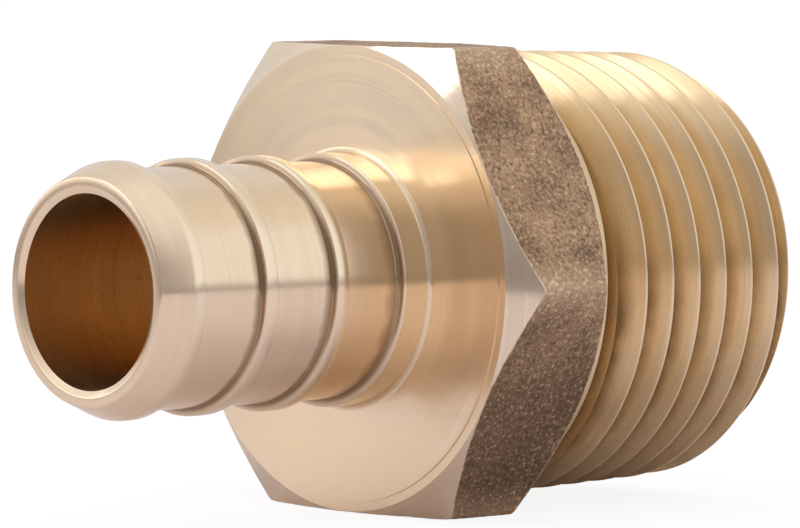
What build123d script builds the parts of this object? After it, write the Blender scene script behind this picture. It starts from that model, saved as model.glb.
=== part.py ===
from build123d import *
import math
import os

# Crimp-ring tubing to pipe-thread adapter, half inch, turned from one forged brass blank.
# Millimetres. The waterway runs along X: barb toward -X, pipe thread toward +X, +Z up.
# The origin is where the waterway's axis meets the hex face that the tube butts against.

# Hexagon
hex_across_flats = 22.225
hex_corner_radius = 0.4
stop_face_radius = 10.6
facing_step = 0.05
rim_radius = 11.05
front_chamfer_deg = 30.0
hex_length = 6.30
rear_chamfer_deg = 38.7
blank_overlap = 1.0

# Barb
barb_length = 16.0
barb_bore_radius = 4.55
shank_radius = 5.63
rib_radius = 6.0
lip_outer_radius = 5.32
lip_bevel = 0.3
lip_bevel_depth = 0.15
tip_land = 0.57
tip_back = 13.86
rib_land = 0.70
rib_backs = (9.46, 5.08)
rib_front_run = 0.12
rib_root_bevel = 0.16
rib_crest_bevel = 0.06
collar_front = 1.60
collar_bevel = 0.27

# Tapered pipe thread, 14 turns to the inch
pitch = 1.8143
spigot_length = 13.90
end_major_radius = 10.358
taper = 1.0 / 32.0
thread_height = 0.8 * pitch
root_flat = 0.07
crest_flat = 0.12
crest_overshoot = 0.1
groove_lead = 1.25
groove_tail = 0.5
seam_deg = 225.0
last_crest_inset = 1.53
plain_band = 0.77
vanish_length = 2.33
vanish_buried = 0.4
end_chamfer_deg = 30.0
end_chamfer_length = 1.4

# Bore of the threaded end
pipe_bore_radius = 7.0
pipe_bore_depth = 14.6
drill_point_deg = 59.0
pipe_bore_bevel = 0.4

# Stations along the axis
thread_end = hex_length + spigot_length
pipe_bore_floor = thread_end - pipe_bore_depth

# Stations on the spigot, measured back from the pipe end
hex_rear = -spigot_length
thread_start = hex_rear + plain_band
vanish_end = thread_start + vanish_length


def major_radius(x):
    """Radius over the crests at x, measured from the pipe end."""
    return end_major_radius - x * taper


def turned(points):
    """A solid of revolution about X from a closed list of (x, radius) points."""
    return revolve(make_face(Polyline(*[(x, r) for x, r in points], close=True)), Axis.X)


def barb():
    """Tip ring, two ribs and the collar on one shank, solid, with their small bevels."""
    hub = hex_length / 2.0
    hub_radius = (rib_radius + stop_face_radius) / 2.0
    pts = [(-barb_length, 0.0), (-barb_length, lip_outer_radius)]
    pts += [(-tip_back - tip_land, rib_radius), (-tip_back, rib_radius), (-tip_back, shank_radius)]
    roots, crests = [], []
    for back in rib_backs:
        front = -back - rib_land
        pts += [(front - rib_front_run, shank_radius), (front, rib_radius)]
        roots.append(pts[-2])
        crests.append(pts[-1])
        pts += [(-back, rib_radius), (-back, shank_radius)]
    pts += [(-collar_front - rib_front_run, shank_radius), (-collar_front, rib_radius)]
    roots.append(pts[-2])
    crests.append(pts[-1])
    pts += [(0.0, rib_radius), (0.0, hub_radius), (hub, hub_radius), (hub, 0.0)]
    outline = make_face(Polyline(*pts, close=True))

    def near(face, places):
        return [v for v in face.vertices() for x, r in places if math.hypot(v.X - x, v.Y - r) < 1e-4]

    outline = chamfer(near(outline, roots), rib_root_bevel)
    outline = chamfer(near(outline, crests), rib_crest_bevel)
    outline = chamfer(near(outline, [(0.0, rib_radius)]), collar_bevel)
    return revolve(outline, Axis.X)


def hexagon():
    """The hexagon, flats up and down, its corners cut back by the facing tool at both ends."""
    corner = hex_across_flats / math.sqrt(3.0)
    points = [
        (corner * math.cos(math.radians(60 * i)), corner * math.sin(math.radians(60 * i)))
        for i in range(6)
    ]
    prism = Plane.YZ * Polyline(*points, close=True)
    blank = extrude(make_face(prism), amount=hex_length + blank_overlap, dir=(1, 0, 0))
    blank = fillet(blank.edges().filter_by(Axis.X), hex_corner_radius)
    reach = corner + blank_overlap
    front_run = (reach - rim_radius) * math.tan(math.radians(front_chamfer_deg))
    flat = hex_across_flats / 2.0
    slope = math.tan(math.radians(rear_chamfer_deg))
    rear_inner = major_radius(hex_rear)
    envelope = turned([
        (0.0, 0.0),
        (0.0, stop_face_radius),
        (facing_step, stop_face_radius),
        (facing_step, rim_radius),
        (facing_step + front_run, reach),
        (hex_length - (reach - flat) * slope, reach),
        (hex_length + (flat - rear_inner) * slope, rear_inner),
        (hex_length + (flat - rear_inner) * slope, 0.0),
    ])
    return blank & envelope


def thread_blank():
    """The tapered spigot before threading, chamfered at its end, the pipe end at x = 0.

    Its seam is turned to where the groove neither starts nor ends.
    """
    chamfer_start = -end_chamfer_length
    end_radius = major_radius(chamfer_start) - end_chamfer_length * math.tan(math.radians(end_chamfer_deg))
    return Rot(X=seam_deg) * turned([
        (hex_rear - blank_overlap, 0.0),
        (hex_rear - blank_overlap, major_radius(hex_rear - blank_overlap)),
        (chamfer_start, major_radius(chamfer_start)),
        (0.0, end_radius),
        (0.0, 0.0),
    ])


def thread_groove():
    """The V groove between the crests, swept right-handed along the taper."""
    start_x = groove_lead * pitch
    length = start_x - thread_start + groove_tail * pitch
    root_radius = major_radius(start_x) - thread_height
    helix = Helix(
        pitch=pitch,
        height=length,
        radius=root_radius,
        center=(0, 0, 0),
        direction=(0, 0, 1),
        cone_angle=math.degrees(math.atan(taper)),
    )
    half_root = root_flat / 2.0
    half_mouth = (pitch - crest_flat) / 2.0
    rise = thread_height + crest_overshoot
    # The flanks run straight from the root flat to the crest flat of the next turn.
    half_top = half_root + (half_mouth - half_root) * rise / thread_height
    section_plane = Plane(origin=(root_radius, 0, 0), x_dir=(1, 0, 0), z_dir=(0, -1, 0))
    section = section_plane * Polyline(
        (0.0, -half_root), (rise, -half_top), (rise, half_top), (0.0, half_root), close=True
    )
    groove = sweep(make_face(section), path=helix, is_frenet=True)
    # Laid along -X from the pipe end, then turned so that the last crest at -Y is at its inset.
    groove = Plane(origin=(start_x, 0, 0), x_dir=(0, -1, 0), z_dir=(-1, 0, 0)) * groove
    turns = (start_x + last_crest_inset) / pitch - 0.5
    return Rot(X=360.0 * turns) * groove


def vanish():
    """The metal left where the die lifts out of the groove toward the hexagon."""
    rise = major_radius(thread_start) - major_radius(vanish_end) + thread_height
    slope = rise / vanish_length
    return turned([
        (hex_rear - blank_overlap, 0.0),
        (hex_rear - blank_overlap, major_radius(hex_rear - blank_overlap)),
        (thread_start, major_radius(thread_start)),
        (vanish_end + vanish_buried, major_radius(thread_start) - rise - slope * vanish_buried),
        (vanish_end + vanish_buried, 0.0),
    ])


def waterway():
    """Everything bored out along the axis."""
    point_run = (pipe_bore_radius - barb_bore_radius) / math.tan(math.radians(drill_point_deg))
    return turned([
        (-barb_length - blank_overlap, 0.0),
        (-barb_length - blank_overlap, barb_bore_radius + lip_bevel),
        (-barb_length, barb_bore_radius + lip_bevel),
        (-barb_length + lip_bevel_depth, barb_bore_radius),
        (pipe_bore_floor, barb_bore_radius),
        (pipe_bore_floor + point_run, pipe_bore_radius),
        (thread_end - pipe_bore_bevel, pipe_bore_radius),
        (thread_end, pipe_bore_radius + pipe_bore_bevel),
        (thread_end + blank_overlap, pipe_bore_radius + pipe_bore_bevel),
        (thread_end + blank_overlap, 0.0),
    ])


spigot = Pos(thread_end, 0, 0) * (thread_blank() - thread_groove() + vanish())
fitting = spigot + hexagon() + barb() - waterway()
fitting = fitting.solids().sort_by(lambda s: s.volume)[-1]
fitting.label = "fitting_body"

os.makedirs("parts", exist_ok=True)
export_step(fitting, "parts/fitting_body.step")
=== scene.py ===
import math

import bpy
from mathutils import Matrix, Vector


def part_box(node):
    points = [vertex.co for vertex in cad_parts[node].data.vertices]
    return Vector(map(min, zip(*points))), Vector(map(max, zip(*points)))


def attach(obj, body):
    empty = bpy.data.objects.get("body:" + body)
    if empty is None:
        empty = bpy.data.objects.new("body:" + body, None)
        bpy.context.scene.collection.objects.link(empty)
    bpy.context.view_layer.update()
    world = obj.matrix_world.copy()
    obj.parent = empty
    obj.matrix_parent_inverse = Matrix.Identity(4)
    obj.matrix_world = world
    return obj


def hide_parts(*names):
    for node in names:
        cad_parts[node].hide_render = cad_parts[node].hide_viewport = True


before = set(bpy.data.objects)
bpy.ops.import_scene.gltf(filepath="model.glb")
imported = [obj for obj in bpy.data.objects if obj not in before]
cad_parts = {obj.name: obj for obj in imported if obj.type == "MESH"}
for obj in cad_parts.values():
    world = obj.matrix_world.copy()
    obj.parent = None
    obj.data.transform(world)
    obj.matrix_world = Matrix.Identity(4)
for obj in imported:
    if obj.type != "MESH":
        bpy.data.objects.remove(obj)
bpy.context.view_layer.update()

# Crimp-ring tubing to pipe-thread adapter in brass.
# Metres. The waterway runs along X: barb toward -X, pipe thread toward +X, +Z up.

MM = 0.001
low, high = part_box("fitting_body")

# Places along the axis and radii, read from the frame or set beside it
barb_tip = low.x
pipe_end = high.x
across_flats = high.z - low.z
flat_height = across_flats / 2
corner_radius = across_flats / math.sqrt(3)

bore_radius = 4.55 * MM
shank_radius = 5.63 * MM
rib_radius = 6.0 * MM
lip_radius = 5.32 * MM
lip_bevel_radius = 4.85 * MM
lip_bevel_depth = 0.15 * MM
nose_back = -14.43 * MM
tip_back = -13.86 * MM
rib_land = 0.70 * MM
rib_rise = 0.12 * MM
rib_backs = (-9.46 * MM, -5.08 * MM)
collar_front = -1.60 * MM
root_round = 0.22 * MM
crest_round = 0.10 * MM
edge_round = 0.035 * MM
collar_round = 0.27 * MM

face_radius = 10.6 * MM
rim_radius = 11.05 * MM
facing_step = 0.05 * MM
front_chamfer = math.radians(30)
rear_chamfer = math.radians(38.7)
hex_length = 6.30 * MM
hex_corner_round = 0.4 * MM

pitch = 25.4 * MM / 14
taper = 1 / 32
end_major_radius = 10.358 * MM
thread_height = 0.8 * pitch
root_flat = 0.07 * MM
crest_flat = 0.12 * MM
thread_crest_round = 0.05 * MM
last_crest = 18.67 * MM
CRESTS_BACK = 8
thread_clear = 0.02 * MM
band_end = 6.95 * MM
band_fall = 0.4 * MM
neck_end = 7.95 * MM
neck_depth = 1.35 * MM
neck_skin = 0.05 * MM
band_skin = 0.01 * MM
thread_rise = 0.35 * MM
run_out_end = 9.4 * MM
end_chamfer_length = 1.4 * MM
end_chamfer = math.radians(30)

pipe_bore_radius = 7.0 * MM
pipe_bore_floor = 5.6 * MM
pipe_bore_bevel = 0.4 * MM
drill_point = math.radians(59)
drill_run = (pipe_bore_radius - bore_radius) / math.tan(drill_point)
drill_end = pipe_bore_floor + drill_run

# Where one piece ends inside another, out of sight
hidden_overlap = 0.3 * MM
hidden_step = 0.1 * MM
hidden_depth = 0.2 * MM
hollow_wall = 0.5 * MM
hollow_depth = 1.6 * MM

MERGE_REACH = 0.0005 * MM
SPIN_STEPS = 256
THREAD_STEPS = 192
THREAD_TURNS = 11
CORNER_MARGIN = 0.01 * MM
PICK_REACH = 0.004 * MM
FORGED_CUTS = 44
# Name, grain and depth of each relief
FORGED_RELIEF = (("forged swell", 2.2 * MM, 0.05 * MM), ("forged pits", 0.35 * MM, 0.05 * MM))

# Colours
WHITE = (1, 1, 1, 1)
# Painted highlight: paler brass painted on the rib and thread crests
CREST_PAINTED_HIGHLIGHT = (0.93, 0.77, 0.57)
THREAD_CREST_PAINTED_HIGHLIGHT = (0.91, 0.74, 0.52)
# Painted shade at the foot of the barb's ribs and steps
SHANK_PAINTED_SHADE = (0.27, 0.17, 0.09, 1)
# Painted shade deep in the thread's grooves
THREAD_PAINTED_SHADE = (0.30, 0.20, 0.10, 1)
SKIN_LIGHT = (0.57, 0.375, 0.225, 1)
SKIN_DULL = (0.31, 0.195, 0.12, 1)
# Painted shade on the lower part of the hexagon's sides
SKIN_PAINTED_SHADE = (0.16, 0.10, 0.06, 1)
SKIN_PIT = (0.10, 0.06, 0.035, 1)
SKIN_SCAR = (0.13, 0.08, 0.045, 1)
SKIN_RUBBED = (0.80, 0.60, 0.40, 1)
SKIN_BRIGHT = (0.88, 0.67, 0.43, 1)
SKIN_BARE = (0.92, 0.75, 0.54, 1)

# Wear and dirt, painted shade on the hexagon's lower sides, and the painted highlight on the crests
SPECK_SHADE = 0.45
# Heights where the painted shade on the hexagon's sides begins and is full, and its strength
painted_shade_top = 1 * MM
painted_shade_bottom = -5 * MM
PAINTED_SHADE_STRENGTH = 0.72
PIT_STRENGTH = 0.7
CORNER_STRENGTH = 0.55
corner_wear = 0.85 * MM
# Width of the painted highlight on the crests
crest_highlight_width = 0.03 * MM
front_edge_wear = 0.09 * MM
rear_edge_wear = 0.07 * MM

# The faces that take a second or third finish
SIDE_TILT = 0.35
SIDE_MARGIN = 0.1 * MM
CHAMFER_TILT = (0.5, 0.97)

# The camera
CAMERA_PLACE = Vector((-222.72, -246.97, 21.43)) * MM
CAMERA_HEADING = math.radians(47.503)
CAMERA_DIP = math.radians(-3.565)
CAMERA_ROLL = math.radians(0.3215)
CAMERA_SENSOR = 36
CAMERA_LENS = 316.54

# The table and the tent round it: headings from +X toward +Y, ramps of (place, colour)
TABLE_SIZE = 4
TABLE_EDGE = 0.137
TABLE_TURN = math.radians(-8.6)
TABLE_COLOUR = (0.90, 0.85, 0.89, 1)
TABLE_GLOW = 1.1
TABLE_GLOW_SHARE = 0.8
TENT_MOUTH = math.radians(-141)
TENT_LEVELS = (
    (0.0, (0.76, 0.76, 0.78)),
    (0.25, (0.82, 0.82, 0.85)),
    (0.45, (0.97, 0.96, 0.99)),
    (0.65, (0.92, 0.91, 0.94)),
    (0.746, (0.85, 0.84, 0.86)),
    (0.79, (0.74, 0.73, 0.75)),
    (0.83, (0.60, 0.58, 0.60)),
    (0.88, (0.44, 0.42, 0.44)),
    (1.0, (0.40, 0.38, 0.40)),
)
HEM_COLOUR = (0.35, 0.335, 0.34, 1)
HEM_LEVELS = (
    (0.0, (0.0, 0.0, 0.0)),
    (0.02, (0.12, 0.12, 0.12)),
    (0.12, (1.0, 1.0, 1.0)),
)
TENT_SEAM = (0.6097, -0.0857, 0.788)
SEAM_LEVELS = (
    (0.91, (1.0, 1.0, 1.0)),
    (0.97, (0.95, 0.92, 0.83)),
)


def major_radius(x):
    """Radius over the thread's crests at x."""
    return end_major_radius + (pipe_end - x) * taper


# ---------------------------------------------------------------- modelling helpers


def start_vertex(name, x, radius):
    """A new object holding one vertex at (x, 0, radius), left in edit mode and selected."""
    bpy.ops.object.select_all(action="DESELECT")
    bpy.ops.mesh.primitive_plane_add(size=MM, location=(x, 0, radius))
    obj = bpy.context.object
    obj.name = name
    obj.data.name = name
    bpy.ops.object.transform_apply(location=True, rotation=True, scale=True)
    bpy.ops.object.mode_set(mode="EDIT")
    bpy.ops.mesh.select_mode(type="VERT")
    bpy.ops.mesh.select_all(action="SELECT")
    bpy.ops.mesh.merge(type="CENTER")
    return obj


def select_vertices(obj, places, reach=PICK_REACH):
    """Select only the vertices at the given (x, radius) places of a wire."""
    bpy.ops.mesh.select_all(action="DESELECT")
    bpy.ops.object.mode_set(mode="OBJECT")
    for v in obj.data.vertices:
        v.select = any(math.hypot(v.co.x - x, v.co.z - r) < reach for x, r in places)
    bpy.ops.object.mode_set(mode="EDIT")
    bpy.ops.mesh.select_mode(type="VERT")


def select_faces(obj, wanted):
    """Select only the faces that the test wants, in edit mode."""
    bpy.ops.object.mode_set(mode="EDIT")
    bpy.ops.mesh.select_mode(type="FACE")
    bpy.ops.mesh.select_all(action="DESELECT")
    bpy.ops.object.mode_set(mode="OBJECT")
    for face in obj.data.polygons:
        face.select = wanted(face)
    bpy.ops.object.mode_set(mode="EDIT")


def select_edges(obj, wanted):
    """Select only the edges whose two ends pass the test, in edit mode."""
    bpy.ops.object.mode_set(mode="EDIT")
    bpy.ops.mesh.select_mode(type="EDGE")
    bpy.ops.mesh.select_all(action="DESELECT")
    bpy.ops.object.mode_set(mode="OBJECT")
    places = obj.data.vertices
    for edge in obj.data.edges:
        edge.select = wanted(*(places[i].co for i in edge.vertices))
    bpy.ops.object.mode_set(mode="EDIT")


def draw_outline(name, points, closed=True):
    """A wire drawn by extruding a vertex from one (x, radius) place to the next."""
    obj = start_vertex(name, *points[0])
    here = points[0]
    for x, r in points[1:]:
        bpy.ops.mesh.extrude_vertices_move(
            TRANSFORM_OT_translate={"value": (x - here[0], 0, r - here[1])}
        )
        here = (x, r)
    if closed:
        select_vertices(obj, (points[0], points[-1]))
        bpy.ops.mesh.edge_face_add()
    return obj


def round_corners(obj, places, run, segments):
    """Round the wire's corners, taking the given run off each side."""
    select_vertices(obj, places)
    bpy.ops.mesh.bevel(affect="VERTICES", offset=run, segments=segments, profile=0.5)


def spin_outline():
    """Turn the wire being drawn round the X axis into a closed body."""
    bpy.ops.mesh.select_all(action="SELECT")
    bpy.ops.mesh.spin(steps=SPIN_STEPS, angle=2 * math.pi, center=(0, 0, 0), axis=(1, 0, 0))
    bpy.ops.mesh.select_all(action="SELECT")
    bpy.ops.mesh.remove_doubles(threshold=MERGE_REACH)
    bpy.ops.mesh.normals_make_consistent(inside=False)
    bpy.ops.object.mode_set(mode="OBJECT")


def use_modifier(obj, name, kind, **values):
    """Add a modifier, set it and apply it."""
    bpy.context.view_layer.objects.active = obj
    mod = obj.modifiers.new(name, kind)
    for key, value in values.items():
        setattr(mod, key, value)
    bpy.ops.object.modifier_apply(modifier=mod.name)


def keep_common(obj, envelope):
    """Cut the object back to what it shares with the envelope, which is used up."""
    use_modifier(obj, "cut back", "BOOLEAN", operation="INTERSECT", solver="EXACT", object=envelope)
    bpy.data.objects.remove(envelope, do_unlink=True)


def smooth(obj, degrees=30):
    """Shade the piece smooth, with edges sharper than the angle kept sharp."""
    bpy.ops.object.select_all(action="DESELECT")
    obj.select_set(True)
    bpy.context.view_layer.objects.active = obj
    bpy.ops.object.shade_smooth_by_angle(angle=math.radians(degrees))
    use_modifier(obj, "even normals", "WEIGHTED_NORMAL", keep_sharp=True, weight=80)


def finish_piece(obj, *materials):
    """Give the piece its materials and let it stand for the solid."""
    for material in materials:
        obj.data.materials.append(material)
    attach(obj, "root")
    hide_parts("fitting_body")


# ---------------------------------------------------------------- the pieces


def make_barb():
    """Tip ring, two ribs and collar, bored through, down to the drill point's cone."""
    outline = [
        (drill_end, pipe_bore_radius),
        (pipe_bore_floor, bore_radius),
        (barb_tip + lip_bevel_depth, bore_radius),
        (barb_tip, lip_bevel_radius),
        (barb_tip, lip_radius),
        (nose_back, rib_radius),
        (tip_back, rib_radius),
        (tip_back, shank_radius),
    ]
    roots, crests, edges = [], [], [outline[-2]]
    for back in rib_backs:
        front = back - rib_land
        outline += [(front - rib_rise, shank_radius), (front, rib_radius)]
        roots.append(outline[-2])
        crests.append(outline[-1])
        outline += [(back, rib_radius), (back, shank_radius)]
        edges.append(outline[-2])
    outline += [(collar_front - rib_rise, shank_radius), (collar_front, rib_radius)]
    roots.append(outline[-2])
    crests.append(outline[-1])
    outline += [
        (hex_length / 2, rib_radius),
        (drill_end, pipe_bore_radius + hollow_wall),
        (drill_end + hollow_wall, pipe_bore_radius + hollow_wall),
        (drill_end + hollow_wall, pipe_bore_radius + hollow_wall / 2),
        (drill_end, pipe_bore_radius + hollow_wall / 2),
    ]
    obj = draw_outline("turned_barb", outline)
    turn = math.atan2(rib_radius - shank_radius, rib_rise) / 2
    round_corners(obj, roots, root_round * math.tan(turn), segments=6)
    round_corners(obj, crests, crest_round * math.tan(turn), segments=4)
    round_corners(obj, edges, edge_round, segments=3)
    round_corners(obj, [(barb_tip, lip_radius)], 2 * edge_round, segments=4)
    round_corners(obj, [(barb_tip, lip_bevel_radius)], edge_round, segments=3)
    round_corners(obj, [(nose_back, rib_radius)], 3 * edge_round, segments=4)
    spin_outline()
    smooth(obj)
    return obj


def hexagon_envelope():
    """The shape the lathe leaves round the hexagon: faced front, both chamfers, and a hollow middle."""
    reach = corner_radius + MM
    front_run = (reach - rim_radius) * math.tan(front_chamfer)
    slope = math.tan(rear_chamfer)
    neck = major_radius(hex_length)
    rear_end = hex_length + (flat_height - neck) * slope
    inner = rib_radius - hidden_overlap
    outline = [
        (-collar_round, inner),
        (-collar_round, rib_radius),
        (0, rib_radius),
        (0, face_radius),
        (facing_step, face_radius),
        (facing_step, rim_radius),
        (facing_step + front_run, reach),
        (hex_length - (reach - flat_height) * slope, reach),
        (rear_end, neck),
        (rear_end, neck - hollow_depth),
        (hex_length / 2, inner),
    ]
    obj = draw_outline("hexagon_envelope", outline)
    round_corners(obj, [(0, rib_radius)], collar_round, segments=6)
    spin_outline()
    return obj


def make_hexagon():
    """The hexagon, flats up and down, with its forged skin, cut back by the lathe at both ends."""
    bpy.ops.object.select_all(action="DESELECT")
    length = hex_length + 2 * MM
    bpy.ops.mesh.primitive_cylinder_add(
        vertices=6,
        radius=corner_radius,
        depth=length,
        end_fill_type="NGON",
        location=(hex_length / 2, 0, 0),
        rotation=(0, math.pi / 2, 0),
    )
    obj = bpy.context.object
    obj.name = "hexagon"
    obj.data.name = "hexagon"
    bpy.ops.object.transform_apply(location=True, rotation=True, scale=True)
    select_faces(obj, lambda face: abs(face.normal.x) < 0.5)
    bpy.ops.mesh.subdivide(number_cuts=FORGED_CUTS)
    near_corner = corner_radius - CORNER_MARGIN
    select_edges(obj, lambda a, b: min(math.hypot(v.y, v.z) for v in (a, b)) > near_corner)
    bpy.ops.mesh.bevel(
        affect="EDGES", offset=hex_corner_round * math.tan(math.radians(30)), segments=4, profile=0.5
    )
    bpy.ops.object.mode_set(mode="OBJECT")
    forge_skin(obj)
    keep_common(obj, hexagon_envelope())
    smooth(obj, degrees=20)
    return obj


def forge_skin(obj):
    """Sink the sides a little, unevenly, as a forging die leaves them."""
    for name, grain, depth in FORGED_RELIEF:
        clouds = bpy.data.textures.new(name, "CLOUDS")
        clouds.noise_scale = grain
        clouds.noise_depth = 2
        use_modifier(
            obj,
            name,
            "DISPLACE",
            texture=clouds,
            texture_coords="LOCAL",
            strength=depth,
            mid_level=1.0,
        )
    for x, side in ((-MM / 2, -1), (hex_length + MM / 2, 1)):
        bpy.ops.object.mode_set(mode="EDIT")
        bpy.ops.mesh.select_all(action="SELECT")
        bpy.ops.mesh.bisect(
            plane_co=(x, 0, 0),
            plane_no=(side, 0, 0),
            use_fill=True,
            clear_outer=True,
            threshold=MERGE_REACH,
        )
        bpy.ops.object.mode_set(mode="OBJECT")


def thread_envelope():
    """The chamfered, bored spigot that the thread is cut on, turned down behind the hexagon."""
    chamfer_start = pipe_end - end_chamfer_length
    end_radius = major_radius(chamfer_start) - end_chamfer_length * math.tan(end_chamfer)
    start = hex_length - hidden_overlap
    outline = [
        (start, pipe_bore_radius + MM),
        (start, major_radius(start) - neck_depth),
        (neck_end, major_radius(neck_end) - neck_depth),
        (neck_end + thread_rise, major_radius(neck_end) + thread_clear),
        (chamfer_start, major_radius(chamfer_start) + thread_clear),
        (pipe_end, end_radius + thread_clear),
        (pipe_end, pipe_bore_radius + pipe_bore_bevel),
        (pipe_end - pipe_bore_bevel, pipe_bore_radius),
        (drill_end - hidden_step, pipe_bore_radius),
        (drill_end - 2 * hidden_step, pipe_bore_radius + hidden_overlap),
    ]
    obj = draw_outline("thread_envelope", outline)
    spin_outline()
    return obj


def make_thread():
    """The tapered right-hand thread: one pitch of the V, screwed along the axis and tapered."""
    # The last crest is placed at -Y, a quarter turn on from where the outline is drawn.
    first_crest = last_crest - pitch / 4 - CRESTS_BACK * pitch
    start = first_crest - pitch / 2
    crest = major_radius(0)
    root = crest - thread_height
    outline = [
        (start, root),
        (start + root_flat / 2, root),
        (first_crest - crest_flat / 2, crest),
        (first_crest + crest_flat / 2, crest),
        (start + pitch - root_flat / 2, root),
        (start + pitch, root),
    ]
    obj = draw_outline("pipe_thread", outline, closed=False)
    round_corners(obj, outline[2:4], thread_crest_round, segments=3)
    bpy.ops.object.mode_set(mode="OBJECT")
    use_modifier(
        obj,
        "thread",
        "SCREW",
        axis="X",
        angle=2 * math.pi,
        screw_offset=pitch,
        iterations=THREAD_TURNS,
        steps=THREAD_STEPS,
        render_steps=THREAD_STEPS,
        use_merge_vertices=False,
    )
    use_modifier(
        obj,
        "taper",
        "SIMPLE_DEFORM",
        deform_method="TAPER",
        deform_axis="X",
        factor=-taper / crest * obj.dimensions.x,
    )
    bpy.ops.object.mode_set(mode="EDIT")
    bpy.ops.mesh.select_all(action="SELECT")
    bpy.ops.mesh.remove_doubles(threshold=MERGE_REACH)
    bpy.ops.mesh.select_all(action="DESELECT")
    bpy.ops.mesh.select_non_manifold()
    bpy.ops.mesh.edge_face_add()
    bpy.ops.mesh.select_all(action="SELECT")
    bpy.ops.mesh.normals_make_consistent(inside=False)
    bpy.ops.object.mode_set(mode="OBJECT")
    keep_common(obj, thread_envelope())
    smooth(obj, degrees=35)
    return obj


def make_run_out():
    """The plain band behind the hexagon, the neck, and the cone where the die lifted out of the thread."""
    start = hex_length - hidden_overlap
    neck = neck_depth - neck_skin
    outline = [
        (start, pipe_bore_radius + MM),
        (start, major_radius(start) + band_skin),
        (band_end, major_radius(band_end) + band_skin),
        (band_end + band_fall, major_radius(band_end) - neck),
        (neck_end, major_radius(neck_end) - neck),
        (run_out_end, major_radius(run_out_end) - thread_height - hidden_depth),
        (run_out_end, pipe_bore_radius + MM),
    ]
    obj = draw_outline("thread_run_out", outline)
    round_corners(obj, [outline[2]], 2 * edge_round, segments=3)
    spin_outline()
    smooth(obj)
    return obj


# ---------------------------------------------------------------- finishes


def put(tree, kind, inputs=None, **settings):
    """Add a node, set it, and give its inputs values or links."""
    node = tree.nodes.new(kind)
    for name, value in settings.items():
        setattr(node, name, value)
    for name, value in (inputs or {}).items():
        if isinstance(value, bpy.types.NodeSocket):
            tree.links.new(value, node.inputs[name])
        else:
            node.inputs[name].default_value = value
    return node


def use_group(tree, group, inputs=None):
    """Add a shader group and return its outputs."""
    return put(tree, "ShaderNodeGroup", inputs, node_tree=group).outputs


def math_node(tree, operation, a, b=0.0, clamp=False):
    return put(tree, "ShaderNodeMath", {0: a, 1: b}, operation=operation, use_clamp=clamp).outputs[0]


def mix_colour(tree, amount, a, b, blend="MIX"):
    inputs = {"Factor": amount, "A": a, "B": b}
    return put(tree, "ShaderNodeMix", inputs, data_type="RGBA", blend_type=blend).outputs["Result"]


def between(tree, value, low_in, high_in, low_out=0.0, high_out=1.0):
    """The value carried from one range to another, and held inside it."""
    inputs = {
        "Value": value,
        "From Min": low_in,
        "From Max": high_in,
        "To Min": low_out,
        "To Max": high_out,
    }
    return put(tree, "ShaderNodeMapRange", inputs).outputs["Result"]


def noise(tree, inputs):
    return put(tree, "ShaderNodeTexNoise", inputs).outputs["Fac"]


def toward(tree, place, way):
    """One where the place lies the given way from the middle, and minus one where it lies opposite."""
    return put(tree, "ShaderNodeVectorMath", {0: place, 1: way}, operation="DOT_PRODUCT").outputs["Value"]


def ramp(tree, value, stops):
    """The colour at the value on a ramp with a stop for each (place, colour)."""
    node = put(tree, "ShaderNodeValToRGB", {"Fac": value})
    elements = node.color_ramp.elements
    while len(elements) < len(stops):
        elements.new(0.5)
    for element, (place, colour) in zip(elements, stops):
        element.position = place
        element.color = (*colour, 1)
    return node.outputs["Color"]


def new_group(name, inputs, outputs):
    """An empty shader group with named number inputs and outputs."""
    tree = bpy.data.node_groups.new(name, "ShaderNodeTree")
    for socket, value in inputs:
        added = tree.interface.new_socket(name=socket, in_out="INPUT", socket_type="NodeSocketFloat")
        added.default_value = value
    for socket in outputs:
        tree.interface.new_socket(name=socket, in_out="OUTPUT", socket_type="NodeSocketFloat")
    return tree, tree.nodes.new("NodeGroupInput").outputs, tree.nodes.new("NodeGroupOutput").inputs


def axis_place(tree):
    """Place along the waterway and distance from its axis, on Object coordinates, and the place itself."""
    place = put(tree, "ShaderNodeTexCoord").outputs["Object"]
    split = put(tree, "ShaderNodeSeparateXYZ", {0: place}).outputs
    flat = put(tree, "ShaderNodeCombineXYZ", {"Y": split["Y"], "Z": split["Z"]}).outputs[0]
    radius = put(tree, "ShaderNodeVectorMath", {0: flat}, operation="LENGTH").outputs["Value"]
    return split["X"], radius, place


def turned_lines_group():
    """Rings left by the lathe: a height for bump, and a mask of brighter and duller rings."""
    slant = 1.7
    sway = 60.0
    tree, given, out = new_group(
        "turned lines",
        (("Lines per metre", 9000.0), ("Coarse rings per metre", 1500.0)),
        ("Height", "Rings"),
    )
    along, radius, place = axis_place(tree)
    travel = math_node(tree, "ADD", along, math_node(tree, "MULTIPLY", radius, slant))
    split = put(tree, "ShaderNodeSeparateXYZ", {0: place}).outputs
    sway_y = math_node(tree, "MULTIPLY", split["Y"], sway)
    sway_z = math_node(tree, "MULTIPLY", split["Z"], sway)

    def rings(per_metre, detail):
        line = math_node(tree, "MULTIPLY", travel, per_metre)
        spot = put(tree, "ShaderNodeCombineXYZ", {"X": line, "Y": sway_y, "Z": sway_z}).outputs[0]
        return noise(tree, {"Vector": spot, "Scale": 1.0, "Detail": detail, "Roughness": 0.6})

    fine = rings(given["Lines per metre"], 3.0)
    coarse = rings(given["Coarse rings per metre"], 2.0)
    height = math_node(tree, "ADD", fine, math_node(tree, "MULTIPLY", coarse, 0.8))
    tree.links.new(height, out["Height"])
    half_fine = math_node(tree, "MULTIPLY", fine, 0.5)
    half_coarse = math_node(tree, "MULTIPLY", coarse, 0.5)
    both = math_node(tree, "ADD", half_fine, half_coarse)
    tree.links.new(between(tree, both, 0.36, 0.64), out["Rings"])
    return tree


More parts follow.
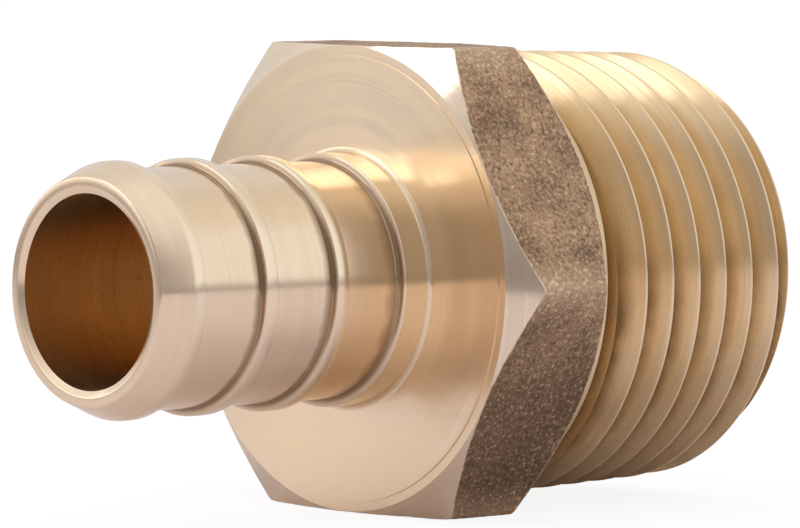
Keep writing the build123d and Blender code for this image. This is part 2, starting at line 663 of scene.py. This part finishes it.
def tarnish_group():
    """Soft clouds of duller metal and small dark specks."""
    tree, given, out = new_group(
        "tarnish",
        (("Clouds per metre", 160.0), ("Specks", 0.3)),
        ("Clouds", "Specks"),
    )
    place = put(tree, "ShaderNodeTexCoord").outputs["Object"]
    cloud = {"Vector": place, "Scale": given["Clouds per metre"], "Detail": 4.0, "Roughness": 0.6}
    tree.links.new(between(tree, noise(tree, cloud), 0.35, 0.68), out["Clouds"])
    grain = {"Vector": place, "Scale": 5200.0, "Detail": 2.0, "Roughness": 0.5}
    specks = between(tree, noise(tree, grain), 0.66, 0.74)
    tree.links.new(math_node(tree, "MULTIPLY", specks, given["Specks"]), out["Specks"])
    return tree


def painted_root_shade_group():
    """Painted shade round a station on the axis, below the given radius, fainter away from it: darkening
    at the foot of ribs and steps.
    """
    tree, given, out = new_group(
        "painted root shade",
        (("Station", 0.0), ("Reach", 0.0005), ("Radius", 0.006), ("Fade", 0.0003)),
        ("Painted shade",),
    )
    along, radius, place = axis_place(tree)
    ragged = noise(tree, {"Vector": place, "Scale": 900.0, "Detail": 3.0})
    reach = math_node(tree, "MULTIPLY", given["Reach"], between(tree, ragged, 0.3, 0.7, 0.7, 1.3))
    gap = math_node(tree, "ABSOLUTE", math_node(tree, "SUBTRACT", along, given["Station"]))
    beside = math_node(tree, "SUBTRACT", 1.0, math_node(tree, "DIVIDE", gap, reach), clamp=True)
    depth = math_node(tree, "SUBTRACT", given["Radius"], radius)
    below = math_node(tree, "DIVIDE", depth, given["Fade"], clamp=True)
    tree.links.new(math_node(tree, "MULTIPLY", beside, below), out["Painted shade"])
    return tree


def painted_groove_shade_group():
    """Painted shade deep in the thread's grooves, heavier on the underside."""
    tree, given, out = new_group(
        "painted groove shade",
        (("Radius", 0.01), ("Taper", 0.0), ("Shallow", 0.0004), ("Deep", 0.0012)),
        ("Painted shade",),
    )
    along, radius, place = axis_place(tree)
    fall = math_node(tree, "MULTIPLY", along, given["Taper"])
    crest = math_node(tree, "SUBTRACT", given["Radius"], fall)
    depth = math_node(tree, "SUBTRACT", crest, radius)
    ragged = noise(tree, {"Vector": place, "Scale": 500.0, "Detail": 3.0})
    uneven = math_node(tree, "MULTIPLY", depth, between(tree, ragged, 0.3, 0.7, 0.8, 1.2))
    past = math_node(tree, "SUBTRACT", uneven, given["Shallow"])
    whole = math_node(tree, "SUBTRACT", given["Deep"], given["Shallow"])
    share = math_node(tree, "DIVIDE", past, whole, clamp=True)
    height = put(tree, "ShaderNodeSeparateXYZ", {0: place}).outputs["Z"]
    low = between(tree, height, 0.003, -0.002, 0.35, 1.0)
    tree.links.new(math_node(tree, "MULTIPLY", share, low), out["Painted shade"])
    return tree


# Mask for the painted highlight on the brass crests, and for the wear on the hexagon's corners
def crest_highlight_and_wear_group():
    """One where the surface stands near the given radius, which tapers toward the pipe end."""
    tree, given, out = new_group(
        "crest highlight and wear",
        (("Radius", 0.01), ("Taper", 0.0), ("Width", 0.0001)),
        ("Crest",),
    )
    along, radius, _ = axis_place(tree)
    fall = math_node(tree, "MULTIPLY", along, given["Taper"])
    crest = math_node(tree, "SUBTRACT", given["Radius"], fall)
    share = math_node(tree, "DIVIDE", math_node(tree, "SUBTRACT", crest, radius), given["Width"])
    tree.links.new(math_node(tree, "SUBTRACT", 1.0, share, clamp=True), out["Crest"])
    return tree


def chamfer_edge_group():
    """One along the edge where a turned cone cuts the hexagon's sides."""
    tree, given, out = new_group(
        "chamfer edge",
        (("Start", 0.0), ("Radius", 0.011), ("Slope", 0.577), ("Width", 0.0001)),
        ("Edge",),
    )
    along, radius, place = axis_place(tree)
    outward = math_node(tree, "SUBTRACT", radius, given["Radius"])
    lift = math_node(tree, "MULTIPLY", outward, given["Slope"])
    edge = math_node(tree, "ADD", lift, given["Start"])
    gap = math_node(tree, "ABSOLUTE", math_node(tree, "SUBTRACT", along, edge))
    ragged = noise(tree, {"Vector": place, "Scale": 3500.0, "Detail": 2.0})
    width = math_node(tree, "MULTIPLY", given["Width"], between(tree, ragged, 0.35, 0.65, 0.5, 1.6))
    share = math_node(tree, "DIVIDE", gap, width)
    tree.links.new(math_node(tree, "SUBTRACT", 1.0, share, clamp=True), out["Edge"])
    return tree


def forged_grain_group():
    """Blasted forging skin: a rough height, dark pits and bright worn grains."""
    tree, given, out = new_group(
        "forged grain",
        (("Grains per metre", 5600.0),),
        ("Height", "Pits", "Bright grains"),
    )
    place = put(tree, "ShaderNodeTexCoord").outputs["Object"]
    coarse = {"Vector": place, "Scale": given["Grains per metre"], "Detail": 5.0, "Roughness": 0.65}
    rough = noise(tree, coarse)
    finer = math_node(tree, "MULTIPLY", given["Grains per metre"], 1.7)
    cells = put(tree, "ShaderNodeTexVoronoi", {"Vector": place, "Scale": finer}).outputs["Distance"]
    height = math_node(tree, "ADD", rough, math_node(tree, "MULTIPLY", cells, 0.5))
    tree.links.new(height, out["Height"])
    tree.links.new(between(tree, rough, 0.48, 0.36), out["Pits"])
    tree.links.new(between(tree, rough, 0.54, 0.65), out["Bright grains"])
    return tree


def brass_material(
    name, colour, deep, rough, lines, depth, grip, crest=None, specks=0.1, shade_bands=(), groove=None
):
    """Machined brass: turned rings in its height, tone and roughness, with tarnish, a painted highlight on
    its crests and painted shade at its roots and in its grooves.

    colour and deep are its two tones, and rough holds the roughness of each. lines holds the fine
    and the coarse rings per metre, depth is the height of their relief, and grip is how far they
    draw out a highlight. crest is (radius, taper, width, colour) of the painted highlight on the
    crests, each of shade_bands is (station, reach, radius, strength) of painted shade at a root or
    step, and groove is (shallow, deep, strength) of painted shade deep in the thread's grooves.
    """
    material = bpy.data.materials.new(name)
    material.use_nodes = True
    tree = material.node_tree
    brass = tree.nodes["Principled BSDF"]
    brass.inputs["Metallic"].default_value = 1
    brass.inputs["Anisotropic"].default_value = grip
    brass.inputs["Anisotropic Rotation"].default_value = 0.25
    around = put(tree, "ShaderNodeTangent", direction_type="RADIAL", axis="X").outputs[0]
    tree.links.new(around, brass.inputs["Tangent"])
    rings = use_group(
        tree, turned_lines, {"Lines per metre": lines[0], "Coarse rings per metre": lines[1]}
    )
    stain = use_group(tree, tarnish, {"Specks": specks})
    from_rings = math_node(tree, "MULTIPLY", rings["Rings"], 0.55)
    from_clouds = math_node(tree, "MULTIPLY", stain["Clouds"], 0.45)
    tone = math_node(tree, "ADD", from_rings, from_clouds)
    shade = mix_colour(tree, tone, (*colour, 1), (*deep, 1))
    speck = (*(SPECK_SHADE * c for c in deep), 1)
    shade = mix_colour(tree, stain["Specks"], shade, speck)
    # Painted highlight: paler colour painted on the crests
    if crest:
        radius, fall, width, bright = crest
        highlight_and_wear = use_group(tree, crest_highlight_and_wear, {"Radius": radius, "Taper": fall, "Width": width})
        shade = mix_colour(tree, highlight_and_wear["Crest"], shade, (*bright, 1))
    # Painted shade at the foot of the ribs and steps
    for station, reach, radius, strength in shade_bands:
        painted_shade = use_group(tree, painted_root_shade, {"Station": station, "Reach": reach, "Radius": radius})
        amount = math_node(tree, "MULTIPLY", painted_shade["Painted shade"], strength)
        shade = mix_colour(tree, amount, shade, SHANK_PAINTED_SHADE)
    # Painted shade deep in the thread's grooves, heavier underneath
    if groove:
        shallow, bottom, strength = groove
        painted_shade = use_group(
            tree,
            painted_groove_shade,
            {"Radius": major_radius(0), "Taper": taper, "Shallow": shallow, "Deep": bottom},
        )
        amount = math_node(tree, "MULTIPLY", painted_shade["Painted shade"], strength)
        shade = mix_colour(tree, amount, shade, THREAD_PAINTED_SHADE)
    tree.links.new(shade, brass.inputs["Base Color"])
    tree.links.new(between(tree, tone, 0.0, 1.0, *rough), brass.inputs["Roughness"])
    bump = {"Height": rings["Height"], "Distance": depth, "Strength": 1.0}
    tree.links.new(put(tree, "ShaderNodeBump", bump).outputs[0], brass.inputs["Normal"])
    return material


def forged_material():
    """The hexagon's sides: brown forging skin with pits, scars, painted shade on their lower part, bright
    grains and bare edges.
    """
    material = bpy.data.materials.new("forged skin")
    material.use_nodes = True
    tree = material.node_tree
    skin = tree.nodes["Principled BSDF"]
    grain = use_group(tree, forged_grain)
    stain = use_group(tree, tarnish, {"Clouds per metre": 420.0})
    corner = use_group(tree, crest_highlight_and_wear, {"Radius": corner_radius, "Width": corner_wear})["Crest"]
    front = {
        "Start": facing_step,
        "Radius": rim_radius,
        "Slope": math.tan(front_chamfer),
        "Width": front_edge_wear,
    }
    rear = {
        "Start": hex_length,
        "Radius": flat_height,
        "Slope": -math.tan(rear_chamfer),
        "Width": rear_edge_wear,
    }
    front_edge = use_group(tree, chamfer_edge, front)["Edge"]
    rear_edge = use_group(tree, chamfer_edge, rear)["Edge"]
    place = put(tree, "ShaderNodeTexCoord").outputs["Object"]
    height = put(tree, "ShaderNodeSeparateXYZ", {0: place}).outputs["Z"]
    colour = mix_colour(tree, stain["Clouds"], SKIN_LIGHT, SKIN_DULL)
    # Painted shade: the sides darken toward the bottom
    underside_shade = between(tree, height, painted_shade_top, painted_shade_bottom, 0.0, PAINTED_SHADE_STRENGTH)
    colour = mix_colour(tree, underside_shade, colour, SKIN_PAINTED_SHADE)
    pits = math_node(tree, "MULTIPLY", grain["Pits"], PIT_STRENGTH)
    colour = mix_colour(tree, pits, colour, SKIN_PIT)
    scar = noise(tree, {"Vector": place, "Scale": 420.0, "Detail": 3.0, "Distortion": 0.4})
    off_line = math_node(tree, "ABSOLUTE", math_node(tree, "SUBTRACT", scar, 0.5))
    in_clouds = between(tree, stain["Clouds"], 0.45, 0.8, 0.0, 0.75)
    line = math_node(tree, "MULTIPLY", between(tree, off_line, 0.018, 0.0), in_clouds)
    colour = mix_colour(tree, line, colour, SKIN_SCAR)
    highlight_and_wear = math_node(tree, "MULTIPLY", corner, CORNER_STRENGTH)
    colour = mix_colour(tree, highlight_and_wear, colour, SKIN_RUBBED)
    rub = math_node(tree, "ADD", 0.5, corner, clamp=True)
    bright = math_node(tree, "MULTIPLY", grain["Bright grains"], rub)
    colour = mix_colour(tree, bright, colour, SKIN_BRIGHT)
    bare = math_node(tree, "MAXIMUM", front_edge, rear_edge)
    colour = mix_colour(tree, bare, colour, SKIN_BARE)
    tree.links.new(colour, skin.inputs["Base Color"])
    shine = math_node(tree, "MAXIMUM", bright, bare)
    tree.links.new(between(tree, shine, 0.0, 1.0, 0.60, 0.30), skin.inputs["Roughness"])
    skin.inputs["Metallic"].default_value = 0.85
    bump = {"Height": grain["Height"], "Distance": 0.04 * MM, "Strength": 1.0}
    tree.links.new(put(tree, "ShaderNodeBump", bump).outputs[0], skin.inputs["Normal"])
    return material


def give_finish(obj, slot, wanted):
    """Assign the material in the slot to the faces that the test wants."""
    select_faces(obj, wanted)
    bpy.ops.object.mode_set(mode="OBJECT")
    for face in obj.data.polygons:
        if face.select:
            face.material_index = slot


def off_axis(face):
    """Distance of a face's middle from the waterway's axis."""
    return math.hypot(face.center.y, face.center.z)


def faces_axis(face):
    return face.center.y * face.normal.y + face.center.z * face.normal.z < 0


def in_waterway(face):
    """The barb's bore, and the cone of the drill behind it."""
    return faces_axis(face) and (off_axis(face) < bore_radius or face.center.x > 0)


def on_side(face):
    """The six forged sides of the hexagon."""
    return abs(face.normal.x) < SIDE_TILT and off_axis(face) > rim_radius - SIDE_MARGIN


def on_front_chamfer(face):
    """The turned cone round the front of the hexagon."""
    gentle, steep = CHAMFER_TILT
    return -steep < face.normal.x < -gentle and off_axis(face) > rim_radius


# ---------------------------------------------------------------- the camera and the light


def direction(heading, height):
    """The unit vector at a heading from +X toward +Y, and a height above the level."""
    level = math.cos(height)
    return Vector((level * math.cos(heading), level * math.sin(heading), math.sin(height)))


def make_camera():
    forward = direction(CAMERA_HEADING, CAMERA_DIP)
    right = forward.cross(Vector((0, 0, 1))).normalized()
    up = right.cross(forward)
    side = math.cos(CAMERA_ROLL) * right + math.sin(CAMERA_ROLL) * up
    top = math.cos(CAMERA_ROLL) * up - math.sin(CAMERA_ROLL) * right
    camera = bpy.data.objects.new("camera", bpy.data.cameras.new("camera"))
    bpy.context.scene.collection.objects.link(camera)
    turn = Matrix((side, top, -forward)).transposed().to_4x4()
    camera.matrix_world = Matrix.Translation(CAMERA_PLACE) @ turn
    camera.data.sensor_width = CAMERA_SENSOR
    camera.data.lens = CAMERA_LENS
    camera.data.clip_start = 0.01
    camera.data.clip_end = 20
    bpy.context.scene.camera = camera


def new_world():
    """A pale tent, darker round its mouth on the camera's side, with a dim hem and a warm seam.

    The hem is where the tent meets the table, and the seam is high up behind the pipe end. The
    camera itself sees plain white past the table.
    """
    world = bpy.data.worlds.new("tent")
    bpy.context.scene.world = world
    world.use_nodes = True
    tree = world.node_tree
    place = put(tree, "ShaderNodeTexCoord").outputs["Generated"]
    facing = toward(tree, place, direction(TENT_MOUTH, 0))
    cloth = ramp(tree, between(tree, facing, -1, 1), TENT_LEVELS)
    height = put(tree, "ShaderNodeSeparateXYZ", {0: place}).outputs["Z"]
    hemmed = mix_colour(tree, ramp(tree, height, HEM_LEVELS), HEM_COLOUR, cloth)
    seam = ramp(tree, toward(tree, place, TENT_SEAM), SEAM_LEVELS)
    lit = mix_colour(tree, 1, hemmed, seam, blend="MULTIPLY")
    seen = put(tree, "ShaderNodeLightPath").outputs["Is Camera Ray"]
    shown = mix_colour(tree, seen, lit, WHITE)
    tree.links.new(shown, tree.nodes["Background"].inputs["Color"])


def lamp(name, heading, height, distance, width, length, watts, colour):
    """A soft box facing the fitting, at a heading and a height in degrees."""
    away = direction(math.radians(heading), math.radians(height))
    data = bpy.data.lights.new(name, "AREA")
    data.shape = "RECTANGLE"
    data.size = width
    data.size_y = length
    data.energy = watts
    data.color = colour
    light = bpy.data.objects.new(name, data)
    light.location = away * distance
    light.rotation_euler = away.to_track_quat("Z", "Y").to_euler()
    bpy.context.scene.collection.objects.link(light)


def make_table():
    """The white table: plain to the brass, and white with a faint shadow to the eye."""
    bpy.ops.object.select_all(action="DESELECT")
    middle = TABLE_SIZE / 2 - TABLE_EDGE
    bpy.ops.mesh.primitive_plane_add(
        size=TABLE_SIZE,
        location=(middle * math.cos(TABLE_TURN), middle * math.sin(TABLE_TURN), -flat_height),
        rotation=(0, 0, TABLE_TURN),
    )
    table = bpy.context.object
    table.name = "table"
    material = bpy.data.materials.new("white table")
    material.use_nodes = True
    tree = material.node_tree
    cloth = tree.nodes["Principled BSDF"]
    cloth.inputs["Base Color"].default_value = TABLE_COLOUR
    cloth.inputs["Roughness"].default_value = 1
    cloth.inputs["Specular IOR Level"].default_value = 0
    glow = put(tree, "ShaderNodeEmission", {"Color": WHITE, "Strength": TABLE_GLOW}).outputs[0]
    seen = put(tree, "ShaderNodeLightPath").outputs["Is Camera Ray"]
    share = math_node(tree, "MULTIPLY", seen, TABLE_GLOW_SHARE)
    mixed = put(tree, "ShaderNodeMixShader", {0: share, 1: cloth.outputs[0], 2: glow}).outputs[0]
    tree.links.new(mixed, tree.nodes["Material Output"].inputs["Surface"])
    table.data.materials.append(material)


turned_lines = turned_lines_group()
tarnish = tarnish_group()
crest_highlight_and_wear = crest_highlight_and_wear_group()
forged_grain = forged_grain_group()
chamfer_edge = chamfer_edge_group()
painted_root_shade = painted_root_shade_group()
painted_groove_shade = painted_groove_shade_group()

rib_roots = [back - rib_land - rib_rise for back in rib_backs]
collar_root = collar_front - rib_rise
turned_brass = brass_material(
    "turned brass",
    colour=(0.92, 0.74, 0.545),
    deep=(0.85, 0.66, 0.455),
    rough=(0.12, 0.22),
    lines=(9000, 1400),
    depth=0.00045 * MM,
    grip=0.55,
    # Painted highlight on the surfaces at the ribs' radius
    crest=(rib_radius, 0, crest_highlight_width, CREST_PAINTED_HIGHLIGHT),
    # Painted shade at the rib roots, the collar root, the tip's back and the rib backs
    shade_bands=(
        (rib_roots[0], 0.42 * MM, rib_radius, 0.95),
        (rib_roots[1], 0.42 * MM, rib_radius, 0.95),
        (collar_root, 0.75 * MM, rib_radius, 0.85),
        (tip_back, 0.25 * MM, rib_radius, 0.6),
        (rib_backs[0], 0.25 * MM, rib_radius, 0.4),
        (rib_backs[1], 0.25 * MM, rib_radius, 0.4),
    ),
)
faced_brass = brass_material(
    "faced brass",
    colour=(0.94, 0.765, 0.55),
    deep=(0.86, 0.67, 0.44),
    rough=(0.14, 0.24),
    lines=(7000, 1100),
    depth=0.0008 * MM,
    grip=0.95,
)
chamfered_brass = brass_material(
    "chamfered brass",
    colour=(0.93, 0.77, 0.59),
    deep=(0.74, 0.59, 0.44),
    rough=(0.11, 0.20),
    lines=(5000, 1600),
    depth=0.0006 * MM,
    grip=0.85,
)
bored_brass = brass_material(
    "bored brass",
    colour=(0.92, 0.68, 0.39),
    deep=(0.70, 0.45, 0.20),
    rough=(0.24, 0.40),
    lines=(5000, 900),
    depth=0.001 * MM,
    grip=0.3,
    specks=0.6,
)
neck_brass = brass_material(
    "neck brass",
    colour=(0.82, 0.64, 0.40),
    deep=(0.64, 0.47, 0.27),
    rough=(0.20, 0.34),
    lines=(8000, 1500),
    depth=0.0008 * MM,
    grip=0.3,
    # Painted shade in the neck behind the plain band
    shade_bands=((band_end + 1.0 * MM, 1.0 * MM, major_radius(band_end) - 0.1 * MM, 0.8),),
)
threaded_brass = brass_material(
    "threaded brass",
    colour=(0.90, 0.70, 0.44),
    deep=(0.79, 0.565, 0.31),
    rough=(0.22, 0.34),
    lines=(8000, 1500),
    depth=0.0010 * MM,
    grip=0.85,
    # Painted highlight on the thread's crests
    crest=(major_radius(0), taper, crest_highlight_width, THREAD_CREST_PAINTED_HIGHLIGHT),
    # Painted shade deep in the thread's grooves
    groove=(0.45 * MM, 1.15 * MM, 0.9),
)
forged_skin = forged_material()

barb = make_barb()
hexagon = make_hexagon()
thread = make_thread()
run_out = make_run_out()
finish_piece(barb, turned_brass, bored_brass)
finish_piece(hexagon, faced_brass, forged_skin, chamfered_brass)
finish_piece(thread, threaded_brass, bored_brass)
finish_piece(run_out, neck_brass)
give_finish(barb, 1, in_waterway)
give_finish(hexagon, 1, on_side)
give_finish(hexagon, 2, on_front_chamfer)
give_finish(thread, 1, faces_axis)
make_camera()
new_world()
make_table()
lamp(
    "left soft box",
    heading=145,
    height=43,
    distance=1.5,
    width=0.76,
    length=0.42,
    watts=1.65,
    colour=(0.90, 0.95, 1.0),
)
lamp(
    "low left soft box",
    heading=130,
    height=11,
    distance=1.5,
    width=1.0,
    length=0.6,
    watts=1.2,
    colour=(1.0, 0.98, 1.0),
)

bpy.context.scene.view_settings.view_transform = "Standard"
